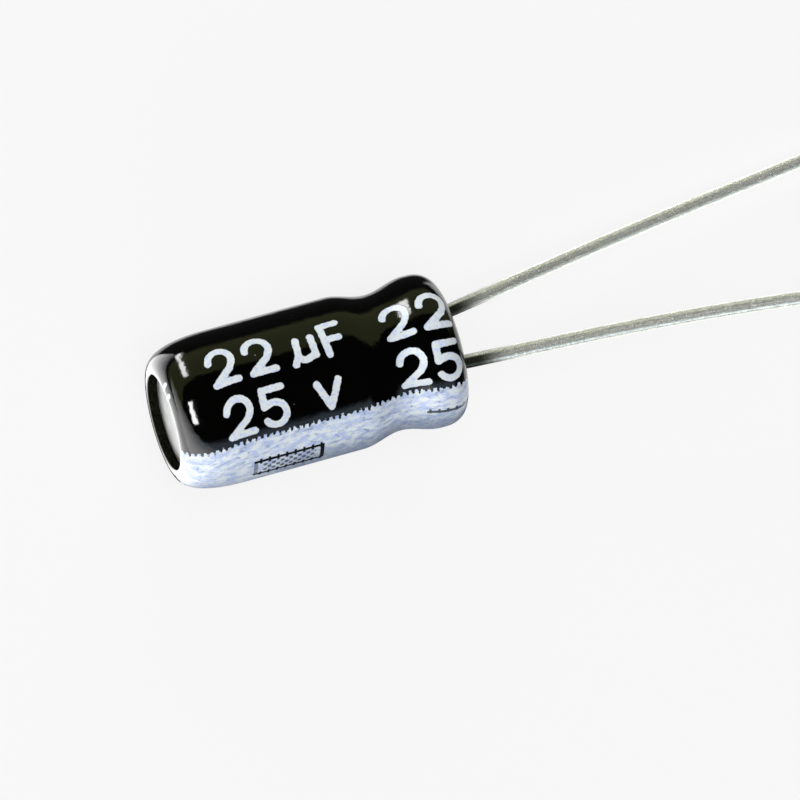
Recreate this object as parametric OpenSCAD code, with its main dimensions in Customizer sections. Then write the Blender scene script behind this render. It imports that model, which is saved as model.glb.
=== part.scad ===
// Small radial electrolytic capacitor with a shrink film sleeve, lying on its side as it comes to rest.
// Every piece is drawn on the bench frame: Z is the can's axis, the seat is at Z = 0, the head is below it
// and both wires point up, the anode at +X and the cathode at -X. place() then lays the part down, so that
// the wires point along +X and the can and the tip of the longer wire touch one flat surface.

/* [Case] */
// Diameter over the film sleeve
case_d = 5; // [4.6:0.1:8]
// Length from the seat to the film rim round the head
case_len = 9.6; // [8.5:0.1:16]
// Wall of the film sleeve along the barrel
film_wall = 0.1; // [0.06:0.01:0.2]
// Wall of the drawn aluminium can
can_wall = 0.2; // [0.15:0.01:0.3]
// Wall of the can's closed head
head_wall = 0.3; // [0.2:0.01:0.5]
// Clearance between pieces that sit one in the other
fit_gap = 0.01; // [0.005:0.005:0.02]

/* [Head end] */
// Diameter of the opening that the film leaves over the head
head_open_d = 3.1; // [2:0.05:3.3]
// Height of the thickened film rim over the bare head
rim_h = 0.33; // [0.15:0.01:0.5]
// Radius on the rim's inner edge
rim_round = 0.08; // [0.03:0.01:0.12]
// Length along the axis of the soft shoulder between barrel and head
shoulder_len = 2.2; // [1.2:0.1:2.6]
// Width of the rim's flat end, between its inner edge and the shoulder
rim_flat = 0.02; // [0.01:0.01:0.3]

/* [Bead and crimp] */
// Distance from the seat to the middle of the rolled bead
bead_pos = 2.2; // [2.15:0.05:2.8]
// Half of the bead's length along the axis
bead_half = 1.35; // [1:0.05:1.4]
// Depth of the bead in the film
bead_depth = 0.26; // [0.15:0.01:0.3]
// Further depth of the bead in the can, which the film spans
bead_hollow = 0.06; // [0.02:0.01:0.1]
// Radius of the can's crimped edge, at the middle of its wall
crimp_r = 0.42; // [0.35:0.01:0.45]
// How far the crimped edge is turned over
crimp_angle = 115; // [95:1:120]
// Width of the film's rounding at the seat, along the axis
seat_round_len = 0.74; // [0.7:0.01:0.8]
// Width of the film's rounding at the seat, across the axis
seat_round_in = 0.63; // [0.55:0.01:0.65]

/* [Rubber seal] */
// Thickness of the rubber seal
seal_h = 3; // [2.9:0.05:3.6]
// How far the seal's face lies below the seat
seal_recess = 0.15; // [0.1:0.01:0.2]
// Radius of the seal's flat face
seal_face_r = 1.46; // [1.4:0.01:1.5]

/* [Wires] */
// Diameter of the tinned wire
wire_d = 0.45; // [0.35:0.01:0.5]
// Distance between the wires at the seat
lead_pitch = 2; // [1.8:0.05:2.1]
// How far the pair of wires sits off the can's axis, towards the anode side
pair_shift = 0.21; // [0:0.01:0.25]
// Length of the anode wire beyond the seat
anode_len = 20; // [16:0.5:30]
// Length of the cathode wire beyond the seat
cathode_len = 15.5; // [13:0.5:25]
// Outward bend of the anode wire at the seat, in degrees
anode_splay_angle = 9.8; // [6:0.1:14]
// Outward bend of the cathode wire at the seat, in degrees
cathode_splay_angle = 3.8; // [2:0.1:10]
// Slow further turn of the anode wire, in degrees, inwards where negative
anode_bow_angle = -2; // [-4:0.1:-1]
// Slow further turn of the cathode wire, in degrees, inwards where negative
cathode_bow_angle = 4.2; // [1:0.1:6]
// Straight stretch of wire that stands out of the seat before the bend
stub_out = 0.1; // [0.05:0.01:0.3]
// Radius of the bend at the seat
bend_r = 2; // [1:0.1:4]
// Distance along the wires from the seat to the start of the slow turn
bow_start = 4.8; // [3:0.1:6]
// Length of the slow turn along the wires
bow_len = 6.4; // [3:0.1:7]
// Number of small bends that make the slow turn
bow_bends = 4; // [2:1:6]
// Radius of each of those small bends
nudge_r = 4; // [2:0.5:6]
// Length of the weld cone between wire and tab
weld_len = 0.22; // [0.1:0.01:0.25]

/* [Tabs] */
// Diameter of the round aluminium boss in the seal
boss_d = 0.9; // [0.7:0.01:0.95]
// Distance from the seat down to the top of the boss
boss_top = 0.85; // [0.8:0.01:1]
// Thickness of the flattened tab
tab_t = 0.18; // [0.1:0.01:0.22]
// Height of the neck where the round boss turns into the flat tab
neck_h = 0.3; // [0.2:0.01:0.5]
// How far the flat tab runs down into the winding
tab_reach = 4.3; // [2.5:0.1:4.4]
// Half of the anode tab's width round the winding, in degrees
anode_tab_half_angle = 30; // [20:10:40]
// Half of the cathode tab's width round the winding, in degrees
cathode_tab_half_angle = 40; // [20:10:40]

/* [Winding] */
// Radius of the hole that the winding spindle leaves
core_r = 0.28; // [0.2:0.01:0.35]
// Thickness of the etched anode foil
anode_foil_t = 0.09; // [0.07:0.01:0.1]
// Thickness of the cathode foil
cathode_foil_t = 0.04; // [0.03:0.01:0.05]
// Thickness of each paper separator
paper_t = 0.04; // [0.03:0.01:0.05]
// Thickness of the tape that closes the winding
tape_t = 0.05; // [0.03:0.01:0.08]
// Gap between the seal and the top edge of the paper
wind_top_gap = 0.4; // [0.4:0.05:0.6]
// Gap between the bottom edge of the paper and the inside of the head
wind_floor_gap = 0.45; // [0.45:0.01:0.7]
// Gap between the finished winding and the can
wind_side_gap = 0.18; // [0.18:0.01:0.4]
// How far the paper stands out past the foils at each end
paper_margin = 0.25; // [0.1:0.05:0.4]

/* [Hidden] */
$fn = 96;

film_color = [0.03, 0.03, 0.035];
aluminium_color = [0.78, 0.79, 0.8];
rubber_color = [0.12, 0.11, 0.11];
tin_color = [0.68, 0.67, 0.62];
etched_color = [0.55, 0.56, 0.55];
cathode_color = [0.7, 0.7, 0.68];
paper_color = [0.85, 0.78, 0.62];
tape_color = [0.75, 0.5, 0.2];

// Radii of the film's and the can's walls; the collar above the bead has the barrel's, so both lie flat
barrel_r = case_d / 2;
can_r = barrel_r - film_wall;
bore_r = can_r - can_wall;

// Depths below the seat
head_out = case_len - rim_h;
head_in = head_out - head_wall;
shoulder_top = case_len - shoulder_len;
seal_bottom = seal_recess + seal_h;
neck_top = seal_bottom + fit_gap;
neck_bottom = neck_top + neck_h;
paper_top = seal_bottom + wind_top_gap;
paper_bottom = head_in - wind_floor_gap;

// The film's shoulder runs in to the rim, and the can's own ends just outside the opening
rim_r = head_open_d / 2;
under_film = 0.05;
shoulder_in = barrel_r - rim_r - rim_round - rim_flat;
can_shoulder_in = can_r - rim_r - under_film;

// Middle of the crimped edge's curve
crimp_mid = [can_r - can_wall / 2 - crimp_r, -(film_wall + can_wall / 2 + crimp_r)];

// Places of the two wires on the bench frame
anode_x = lead_pitch / 2 + pair_shift;
cathode_x = lead_pitch / 2 - pair_shift;

// Exponents of the rounded corners: 2 is an ellipse, more is squarer
shoulder_power = 2.5;
seat_power = 2.2;

function polar(r, a) = [r * cos(a), r * sin(a)];
function arc(mid, r, from, to, steps) = [for (i = [0:steps]) mid + polar(r, from + (to - from) * i / steps)];

// A squared-off quarter round from the wall at radius r to a face at depth end
function corner(r, end, along, across, power, steps) = [for (i = [0:steps])
    let (a = 90 * i / steps)
    [r - across * (1 - pow(cos(a), 2 / power)), -(end - along * (1 - pow(sin(a), 2 / power)))]];

// Share of the bead's depth at a depth below the seat
function bead_share(depth) =
    let (off = abs(depth - bead_pos))
    off < bead_half ? (1 + cos(180 * off / bead_half)) / 2 : 0;

// Wall line through collar, bead and barrel, for a barrel of radius r
function side(r, deep, first, steps) = [for (i = [0:steps])
    let (depth = first + (bead_pos + bead_half - first) * i / steps)
    [r - deep * bead_share(depth), -depth]];

function reversed(list) = [for (i = [len(list) - 1:-1:0]) list[i]];

can_bead = bead_depth + bead_hollow;
bead_steps = 28;
corner_steps = 14;

// Step along the axis between the end of a curve and the start of the wall line
next_step = 0.02;
crimp_foot = -crimp_mid[1] + next_step;

// The can's shoulder, for a wall at radius r that ends in a face at depth end
function can_shoulder(r, end) =
    corner(r, end, end - shoulder_top, can_shoulder_in, shoulder_power, corner_steps);

// Winding: four layers a turn, anode foil, paper, cathode foil, paper, each clear of the next
layer_in = [0, anode_foil_t + fit_gap, anode_foil_t + paper_t + 2 * fit_gap,
    anode_foil_t + paper_t + cathode_foil_t + 3 * fit_gap];
turn_pitch = anode_foil_t + cathode_foil_t + 2 * paper_t + 4 * fit_gap;
ray_angle = 10;
tab_room = tab_t + fit_gap;
room_angle = 30;

function snap(a) = round(a / ray_angle) * ray_angle;
function whole(turns) = max(1, round(turns)) * 360;

// The tabs lie on the turns whose radius comes nearest to their boss
anode_tab_at = whole((anode_x - core_r - anode_foil_t - tab_t / 2) / turn_pitch);
cathode_tab_at = whole((cathode_x - core_r - layer_in[2] - tab_t / 2) / turn_pitch) + 180;

// The papers end where one more turn of tape still clears the can
wind_r_max = bore_r - wind_side_gap;
tape_end = snap(360 * (wind_r_max - tape_t - tab_room - core_r) / turn_pitch);
paper_end = tape_end - 360;
anode_foil_start = 220;
anode_foil_end = paper_end - 180;
cathode_foil_start = 140;
cathode_foil_end = paper_end - 70;

// Share of the tab's room that a turn leaves at an angle away from the tab's middle
function room_share(off, half) =
    off <= half ? 1 : off >= half + room_angle ? 0 : (1 + cos(180 * (off - half) / room_angle)) / 2;

// Room that a layer leaves for a tab further in
function room(a, layer, tab_at, tab_layer, half) =
    let (past = a - tab_at, off = abs(past - 360 * round(past / 360)))
    past > 180 || (past > -180 && layer > tab_layer) ? tab_room * room_share(off, half) : 0;

// Inner radius of a layer after it has been wound by an angle
function wound_r(a, layer) = core_r + turn_pitch * a / 360 + layer_in[layer]
    + room(a, layer, anode_tab_at, 0, anode_tab_half_angle)
    + room(a, layer, cathode_tab_at, 2, cathode_tab_half_angle);

// Outline of a wound strip
function strip(from, to, layer, lift, thick) = concat(
    [for (a = [from:ray_angle:to]) polar(wound_r(a, layer) + lift, a)],
    [for (a = [to:-ray_angle:from]) polar(wound_r(a, layer) + lift + thick, a)]);

module wound_strip(from, to, layer, thick, top, bottom, lift = 0) {
    translate([0, 0, -bottom])
        linear_extrude(height = bottom - top)
            polygon(strip(from, to, layer, lift, thick));
}

// A wire from its boss upwards: each leg is [straight run, bend radius, bend angle]
function arc_len(radius, angle) = radius * abs(angle) * PI / 180;
function wire_legs(length, splay, bow) =
    let (
        nudge = bow / bow_bends,
        spacing = bow_len / bow_bends,
        first = bow_start - stub_out - arc_len(bend_r, splay),
        last = length - bow_start - bow_len + spacing - bow_bends * arc_len(nudge_r, nudge))
    concat(
        [[boss_top + stub_out, bend_r, splay], [first, nudge_r, nudge]],
        [for (i = [2:bow_bends]) [spacing, nudge_r, nudge]],
        [[last, 0, 0]]);

// Sideways reach of a wire's tip from its boss
function reach(legs, leg = 0, heading = 0) = leg == len(legs) ? 0 :
    let (run = legs[leg][0], radius = legs[leg][1], next = heading + legs[leg][2])
    run * sin(heading) + radius * abs(cos(heading) - cos(next)) + reach(legs, leg + 1, next);

// Roll at which the longer wire's tip touches the surface that the barrel lies on
tip_x = anode_x + reach(wire_legs(anode_len, anode_splay_angle, anode_bow_angle));
rest_roll = asin(min(1, (barrel_r - wire_d / 2) / tip_x));

module place() {
    rotate([-rest_roll, 0, 0])
        rotate([90, 0, 90])
            children();
}

// A round wire that starts upwards from the origin and turns in its own plane
module bent_wire(legs, leg = 0) {
    run = legs[leg][0];
    radius = legs[leg][1];
    angle = abs(legs[leg][2]);
    side_turn = legs[leg][2] < 0 ? 180 : 0;
    cylinder(d = wire_d, h = run);
    if (leg < len(legs) - 1)
        translate([0, 0, run])
            rotate([0, 0, side_turn]) {
                translate([radius, 0, 0])
                    rotate([90, 0, 180])
                        rotate_extrude(angle = angle)
                            translate([radius, 0])
                                circle(d = wire_d);
                translate([radius * (1 - cos(angle)), 0, radius * sin(angle)])
                    rotate([0, angle, 0])
                        rotate([0, 0, -side_turn])
                            bent_wire(legs, leg + 1);
            }
}

// Wire with its weld cone, standing on the boss
module lead(length, splay, bow) {
    translate([0, 0, -boss_top]) {
        bent_wire(wire_legs(length, splay, bow));
        cylinder(d1 = boss_d - 2 * fit_gap, d2 = wire_d, h = weld_len);
    }
}

module anode_lead() {
    color(tin_color)
        place()
            translate([anode_x, 0, 0])
                lead(anode_len, anode_splay_angle, anode_bow_angle);
}

module cathode_lead() {
    color(tin_color)
        place()
            mirror([1, 0, 0])
                translate([cathode_x, 0, 0])
                    lead(cathode_len, cathode_splay_angle, cathode_bow_angle);
}

// Film sleeve: shrunk over the crimp, the bead and the head's edge, where it gathers to a thick rim
module sleeve() {
    crimp_out = crimp_r + can_wall / 2 + fit_gap;
    lip_angle = 100;
    outer = concat(
        [[crimp_mid[0] + crimp_out * cos(lip_angle), 0]],
        reversed(corner(barrel_r, 0, -seat_round_len, seat_round_in,
            seat_power, corner_steps)),
        side(barrel_r, bead_depth, seat_round_len + next_step, bead_steps),
        corner(barrel_r, case_len, shoulder_len, shoulder_in, shoulder_power, corner_steps),
        arc([rim_r + rim_round, -case_len + rim_round], rim_round, 270, 180, 4));
    inner = concat(
        [[rim_r, -head_out - fit_gap]],
        reversed(can_shoulder(can_r + fit_gap, head_out + fit_gap)),
        reversed(side(can_r + fit_gap, bead_depth, crimp_foot, bead_steps)),
        arc(crimp_mid, crimp_out, 0, lip_angle, 8));
    color(film_color)
        place()
            rotate_extrude()
                polygon(concat(outer, inner));
}

// Drawn can: closed head, beaded wall and an edge crimped over the rubber
module can() {
    outer = concat(
        reversed(arc(crimp_mid, crimp_r + can_wall / 2, 0, crimp_angle, 12)),
        side(can_r, can_bead, crimp_foot, bead_steps),
        can_shoulder(can_r, head_out),
        [[0, -head_out]]);
    inner = concat(
        [[0, -head_in]],
        reversed(can_shoulder(bore_r, head_in)),
        reversed(side(bore_r, can_bead, crimp_foot, bead_steps)),
        arc(crimp_mid, crimp_r - can_wall / 2, 0, crimp_angle, 8));
    color(aluminium_color)
        place()
            rotate_extrude()
                polygon(concat(outer, inner));
}

// Rubber seal: pinched by the bead, filling the crimp, with one stepped hole for each tab and wire
module end_seal() {
    profile = concat(
        [[0, -seal_recess], [seal_face_r, -seal_recess]],
        reversed(arc(crimp_mid, crimp_r - can_wall / 2 - fit_gap, 0, crimp_angle + 8, 8)),
        [for (p = side(bore_r - fit_gap, can_bead, crimp_foot, bead_steps)) if (-p[1] < seal_bottom) p],
        [[bore_r - fit_gap - can_bead * bead_share(seal_bottom), -seal_bottom], [0, -seal_bottom]]);
    hole_top = boss_top - weld_len - fit_gap;
    color(rubber_color)
        place()
            difference() {
                rotate_extrude()
                    polygon(profile);
                for (x = [anode_x, -cathode_x])
                    translate([x, 0, 0]) {
                        translate([0, 0, -seal_bottom - 1])
                            cylinder(d = boss_d + 2 * fit_gap, h = seal_bottom - hole_top + 1);
                        translate([0, 0, -seal_bottom - 1])
                            cylinder(d = wire_d + 2 * fit_gap, h = seal_bottom + 2);
                    }
            }
}

// Aluminium tab: a round boss through the seal, pressed flat below it and wound in on its foil
module tab(boss_x, from, to, layer, thick_below) {
    lift = thick_below + fit_gap;
    edge = 0.02;
    place() {
        translate([boss_x, 0, -neck_top])
            cylinder(d = boss_d, h = neck_top - boss_top);
        hull() {
            translate([boss_x, 0, -neck_top])
                cylinder(d = boss_d - 2 * edge, h = edge, $fn = 32);
            wound_strip(from, to, layer, tab_t, neck_bottom - edge, neck_bottom, lift);
        }
        wound_strip(from, to, layer, tab_t, neck_bottom - edge, paper_top + tab_reach, lift);
    }
}

module anode_tab() {
    color(aluminium_color)
        tab(anode_x, anode_tab_at - anode_tab_half_angle, anode_tab_at + anode_tab_half_angle,
            0, anode_foil_t);
}

module cathode_tab() {
    color(aluminium_color)
        tab(-cathode_x, cathode_tab_at - cathode_tab_half_angle, cathode_tab_at + cathode_tab_half_angle,
            2, cathode_foil_t);
}

module anode_foil() {
    color(etched_color)
        place()
            wound_strip(anode_foil_start, anode_foil_end, 0, anode_foil_t,
                paper_top + paper_margin, paper_bottom - paper_margin);
}

module cathode_foil() {
    color(cathode_color)
        place()
            wound_strip(cathode_foil_start, cathode_foil_end, 2, cathode_foil_t,
                paper_top + paper_margin, paper_bottom - paper_margin);
}

module inner_separator() {
    color(paper_color)
        place()
            wound_strip(0, paper_end, 1, paper_t, paper_top, paper_bottom);
}

module outer_separator() {
    color(paper_color)
        place()
            wound_strip(0, paper_end, 3, paper_t, paper_top, paper_bottom);
}

// Tape that holds the winding closed, one turn over the outer paper
module winding_tape() {
    color(tape_color)
        place()
            wound_strip(paper_end + ray_angle, tape_end - ray_angle, 0, tape_t, paper_top, paper_bottom);
}

sleeve();
can();
end_seal();
anode_lead();
cathode_lead();
anode_tab();
cathode_tab();
anode_foil();
cathode_foil();
inner_separator();
outer_separator();
winding_tape();
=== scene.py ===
# %% [markdown]
# A small radial electrolytic capacitor, lying on its side on a pale table.
#
# The solids come from a CAD model, which stays the measure of every size here. This file gives them the
# looks: a printed black shrink film, two tinned wires, a bare aluminium head and a rubber seal. Each step
# first says what the real thing is and how it could be made, and then makes it.

import math

import bpy
import numpy as np
from mathutils import Matrix, Vector


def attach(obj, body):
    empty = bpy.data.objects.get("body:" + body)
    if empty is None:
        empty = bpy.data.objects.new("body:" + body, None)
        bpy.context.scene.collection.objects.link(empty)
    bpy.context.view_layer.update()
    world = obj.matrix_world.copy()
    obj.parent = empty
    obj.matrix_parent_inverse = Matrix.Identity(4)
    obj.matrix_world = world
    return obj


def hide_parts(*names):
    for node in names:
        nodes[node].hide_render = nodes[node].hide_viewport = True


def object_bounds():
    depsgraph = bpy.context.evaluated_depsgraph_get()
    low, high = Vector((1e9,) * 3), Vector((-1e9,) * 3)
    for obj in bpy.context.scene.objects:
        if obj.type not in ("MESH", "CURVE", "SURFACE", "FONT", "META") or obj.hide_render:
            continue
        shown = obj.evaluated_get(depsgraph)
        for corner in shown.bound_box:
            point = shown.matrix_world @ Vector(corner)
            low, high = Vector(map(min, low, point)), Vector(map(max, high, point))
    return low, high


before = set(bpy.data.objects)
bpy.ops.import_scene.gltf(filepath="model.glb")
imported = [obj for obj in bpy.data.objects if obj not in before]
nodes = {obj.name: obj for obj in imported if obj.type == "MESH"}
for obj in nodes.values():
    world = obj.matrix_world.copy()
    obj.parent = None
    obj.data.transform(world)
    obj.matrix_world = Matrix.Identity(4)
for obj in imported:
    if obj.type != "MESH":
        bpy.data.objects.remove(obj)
cad_low, cad_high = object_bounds()
MM = 0.001
print("CAD box in mm:", [round(c / MM, 2) for c in (*cad_low, *cad_high)])

# %% [markdown]
# ## Helpers for node trees
#
# Shaders and Geometry Nodes are both trees of nodes, and building one by hand takes the same three moves
# each time: add a node, fill its sockets, link it to others. A few short helpers keep the trees readable.
# `add` takes a plain value or another node's output for a socket, and does whichever is needed. The sums
# read almost as on paper: `times(tree, a, b)` is a Math node that multiplies.


# %% Helpers to add nodes and do sums
def add(tree, kind, values=None, **settings):
    """A new node with its settings, and a value or a link for each named socket."""
    new = tree.nodes.new(kind)
    for name, setting in settings.items():
        setattr(new, name, setting)
    for key, value in (values or {}).items():
        if isinstance(value, bpy.types.NodeSocket):
            tree.links.new(value, new.inputs[key])
        else:
            new.inputs[key].default_value = value
    return new


def sum_node(tree, operation, *values):
    """The output of a Math node."""
    return add(tree, "ShaderNodeMath", dict(enumerate(values)), operation=operation).outputs[0]


def times(tree, first, *others):
    """The product of two or more values."""
    for other in others:
        first = sum_node(tree, "MULTIPLY", first, other)
    return first


def plus(tree, first, *others):
    """The sum of two or more values."""
    for other in others:
        first = sum_node(tree, "ADD", first, other)
    return first


def minus(tree, first, second):
    """The difference of two values."""
    return sum_node(tree, "SUBTRACT", first, second)


def ramp(tree, value, low, high, to_low=0.0, to_high=1.0):
    """Maps low..high smoothly to to_low..to_high."""
    fill = {"Value": value, "From Min": low, "From Max": high, "To Min": to_low, "To Max": to_high}
    return add(tree, "ShaderNodeMapRange", fill, interpolation_type="SMOOTHSTEP").outputs[0]


def inside_of(tree, off, half):
    """1 where a distance from a middle line is under half a width."""
    return sum_node(tree, "LESS_THAN", off, half)


# %% Helpers for node groups
def new_group(kind, name, inputs, outputs):
    """A node group with named sockets: its tree, its input node and its output node."""
    tree = bpy.data.node_groups.new(name, kind)
    for socket, socket_kind, default in inputs:
        made = tree.interface.new_socket(socket, in_out="INPUT", socket_type="NodeSocket" + socket_kind)
        if default is not None:
            made.default_value = default
    for socket, socket_kind in outputs:
        tree.interface.new_socket(socket, in_out="OUTPUT", socket_type="NodeSocket" + socket_kind)
    return tree, tree.nodes.new("NodeGroupInput"), tree.nodes.new("NodeGroupOutput")


def use(tree, group, values=None):
    """A group placed in a material's tree."""
    return add(tree, "ShaderNodeGroup", values, node_tree=group)


def pattern(tree, group, vector, **values):
    """The output of a shared pattern that is laid over a vector."""
    return use(tree, group, {"Vector": vector, **values}).outputs[0]


# %% [markdown]
# ## Camera
#
# The photograph was taken from above with a long lens, so the barrel's two edges run almost parallel. The
# camera's directions were worked out from the picture: the can's axis rises 15.36 degrees from left to right
# and leans 13.1 degrees towards the camera at its head end. `side_turn` is a small roll about that axis. The
# lens and the distance are then chosen so that the 5 mm barrel is as wide as in the photograph.

# %% Camera from the measured angles
rise, lean, side_turn = (math.radians(a) for a in (15.36, 13.1, 0.433))
axis_seen = Vector((math.cos(rise) * math.cos(lean), math.sin(rise) * math.cos(lean), -math.sin(lean)))
over_seen = Vector((math.cos(rise) * math.sin(lean), math.sin(rise) * math.sin(lean), math.cos(lean)))
down_seen = Vector((math.sin(rise), -math.cos(rise), 0))
up_seen = over_seen * math.cos(side_turn) + down_seen * math.sin(side_turn)
side_seen = up_seen.cross(axis_seen)
seen = Matrix((axis_seen, side_seen, up_seen))

CAMERA_RANGE, SEEN_WIDTH, SENSOR_WIDTH = 400 * MM, 25.56 * MM, 36
PAN_RIGHT, PAN_UP = -1.498 * MM, -1.757 * MM
camera_data = bpy.data.cameras.new("camera")
camera_data.sensor_width = SENSOR_WIDTH
camera_data.lens = SENSOR_WIDTH * CAMERA_RANGE / SEEN_WIDTH
camera_data.clip_start, camera_data.clip_end = 0.01, 10
camera = bpy.data.objects.new("camera", camera_data)
camera_place = seen @ Vector((PAN_RIGHT, PAN_UP, CAMERA_RANGE))
camera.matrix_world = Matrix.Translation(camera_place) @ seen.to_4x4()
bpy.context.scene.collection.objects.link(camera)
bpy.context.scene.camera = camera
print("lens", round(camera_data.lens, 1), "mm, camera at", [round(c, 4) for c in camera_place])

# %% [markdown]
# ## Finishes shared by several materials
#
# Four effects turn up on more than one surface, so each is a node group that is built once. `Cloudy` gives a
# soft uneven value, as ink and etched metal have. `Drawn Lines` gives fine streaks along one direction, as
# metal has that was pulled through a die. `Specks` gives a sprinkle of tiny dots, for dust and pits. `Bumps`
# turns a height into a normal at a size that suits an object of a few millimetres.


# %% The shared groups
def build_cloudy():
    tree, inside, out = new_group("ShaderNodeTree", "Cloudy", [
        ("Vector", "Vector", None), ("Size", "Float", 1.0), ("Detail", "Float", 3.0),
        ("Low", "Float", 0.35), ("High", "Float", 0.65)], [("Value", "Float")])
    scale = sum_node(tree, "DIVIDE", 1.0, inside.outputs["Size"])
    noise = add(tree, "ShaderNodeTexNoise", {
        "Vector": inside.outputs["Vector"], "Scale": scale, "Detail": inside.outputs["Detail"]})
    value = ramp(tree, noise.outputs[0], inside.outputs["Low"], inside.outputs["High"])
    tree.links.new(value, out.inputs["Value"])
    return tree


def build_drawn_lines():
    tree, inside, out = new_group("ShaderNodeTree", "Drawn Lines", [
        ("Vector", "Vector", None), ("Width", "Float", 0.02), ("Stretch", "Float", 20.0)],
        [("Value", "Float")])
    parts = add(tree, "ShaderNodeSeparateXYZ", {0: inside.outputs["Vector"]})
    along = sum_node(tree, "DIVIDE", parts.outputs[0], inside.outputs["Stretch"])
    point = add(tree, "ShaderNodeCombineXYZ", {0: along, 1: parts.outputs[1], 2: parts.outputs[2]})
    scale = sum_node(tree, "DIVIDE", 1.0, inside.outputs["Width"])
    noise = add(tree, "ShaderNodeTexNoise", {
        "Vector": point.outputs[0], "Scale": scale, "Detail": 2.0})
    tree.links.new(noise.outputs[0], out.inputs["Value"])
    return tree


def build_specks():
    tree, inside, out = new_group("ShaderNodeTree", "Specks", [
        ("Vector", "Vector", None), ("Spacing", "Float", 0.3), ("Radius", "Float", 0.1),
        ("Share", "Float", 0.1)], [("Mask", "Float")])
    scale = sum_node(tree, "DIVIDE", 1.0, inside.outputs["Spacing"])
    cells = add(tree, "ShaderNodeTexVoronoi", {"Vector": inside.outputs["Vector"], "Scale": scale})
    tint = add(tree, "ShaderNodeSeparateColor", {0: cells.outputs["Color"]})
    chosen = sum_node(tree, "LESS_THAN", tint.outputs[0], inside.outputs["Share"])
    size = times(tree, inside.outputs["Radius"], tint.outputs[1])
    near = sum_node(tree, "LESS_THAN", cells.outputs["Distance"], size)
    tree.links.new(times(tree, chosen, near), out.inputs["Mask"])
    return tree


def build_bumps():
    tree, inside, out = new_group("ShaderNodeTree", "Bumps", [
        ("Height", "Float", 0.0), ("Depth", "Float", 0.01)], [("Normal", "Vector")])
    metres = times(tree, inside.outputs["Depth"], MM)
    bump = add(tree, "ShaderNodeBump", {
        "Height": inside.outputs["Height"], "Distance": metres, "Strength": 1.0})
    tree.links.new(bump.outputs[0], out.inputs["Normal"])
    return tree


CLOUDY, DRAWN_LINES, SPECKS, BUMPS = build_cloudy(), build_drawn_lines(), build_specks(), build_bumps()
print("groups:", [g.name for g in (CLOUDY, DRAWN_LINES, SPECKS, BUMPS)])


# %% A start for each material: the shader, and the surface point in millimetres
def point_in_mm(tree):
    """The surface point in the piece's own coordinates, in millimetres."""
    place = add(tree, "ShaderNodeTexCoord").outputs["Object"]
    return add(tree, "ShaderNodeVectorMath", {0: place, 1: (1 / MM,) * 3}, operation="MULTIPLY").outputs[0]


def new_material(name, **shader_values):
    """An empty material: itself, its tree, its Principled shader and the surface point in mm."""
    made = bpy.data.materials.new(name)
    made.use_nodes = True
    tree = made.node_tree
    shader = tree.nodes["Principled BSDF"]
    for key, value in shader_values.items():
        shader.inputs[key.replace("_", " ")].default_value = value
    return made, tree, shader, point_in_mm(tree)


def dress(tree, shader, tone, rough, height, depth):
    """Gives the shader its colour and roughness, and bumps of a depth in mm."""
    tree.links.new(tone, shader.inputs["Base Color"])
    tree.links.new(rough, shader.inputs["Roughness"])
    bumps = use(tree, BUMPS, {"Height": height, "Depth": depth})
    tree.links.new(bumps.outputs[0], shader.inputs["Normal"])


def mix_colour(tree, factor, first, second):
    """Blends two colours, or two outputs, by a factor."""
    mixed = add(tree, "ShaderNodeMix", {0: factor, 6: first, 7: second}, data_type="RGBA")
    return mixed.outputs[2]


def mix_value(tree, factor, first, second):
    """Blends two numbers by a factor."""
    return add(tree, "ShaderNodeMix", {0: factor, 2: first, 3: second}).outputs[0]


# %% [markdown]
# ## The film's outline
#
# The sleeve is a tube of plastic film that was shrunk onto the can with heat, so it follows every form below
# it: the rounded lip over the crimp, the rolled bead, the barrel and the soft shoulder round the head, where
# it gathers to a thick rim. It is a body of revolution. One outline, given as depth below the seat and as
# radius, makes the whole piece. These are the CAD model's own curves, sampled more finely.

# %% Sizes of the film, in millimetres
BARREL_R, CASE_LEN, FILM_WALL = 2.5, 9.6, 0.1
RIM_R, RIM_H, RIM_ROUND, RIM_FLAT, SHOULDER_LEN = 1.55, 0.33, 0.08, 0.02, 2.2
BEAD_POS, BEAD_HALF, BEAD_DEPTH = 2.2, 1.35, 0.26
SEAT_ROUND_LEN, SEAT_ROUND_IN = 0.74, 0.63
CAN_R = BARREL_R - FILM_WALL
FIT_GAP, CAN_WALL, CRIMP_R = 0.01, 0.2, 0.42
SHOULDER_IN = BARREL_R - RIM_R - RIM_ROUND - RIM_FLAT
CAN_FLAT = 0.05
CAN_SHOULDER_IN = CAN_R - RIM_R - CAN_FLAT
HEAD_OUT = CASE_LEN - RIM_H
WALL_LEAD, OUTER_STEP, INNER_STEP = 0.02, 0.055, 0.2
INSIDE_RUN = -5.0


# %% Curves of the outline
def corner(radius, end, along, across, power, steps=26):
    """A squared-off quarter round from the wall at a radius to a face at depth end."""
    turn = np.linspace(0, math.pi / 2, steps + 1)
    radii = radius - across * (1 - np.clip(np.cos(turn), 0, 1) ** (2 / power))
    return np.stack([end - along * (1 - np.sin(turn) ** (2 / power)), radii], 1)


def wall(radius, deep, first, steps=44):
    """The wall from the collar through the bead to the barrel."""
    depth = np.linspace(first, BEAD_POS + BEAD_HALF, steps + 1)
    off = np.abs(depth - BEAD_POS)
    share = np.where(off < BEAD_HALF, (1 + np.cos(math.pi * off / BEAD_HALF)) / 2, 0)
    return np.stack([depth, radius - deep * share], 1)


def turned(middle, radius, start, stop, steps=8):
    """Part of a circle in the outline's plane."""
    angle = np.radians(np.linspace(start, stop, steps + 1))
    return np.stack([middle[0] - radius * np.sin(angle), middle[1] + radius * np.cos(angle)], 1)


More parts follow.
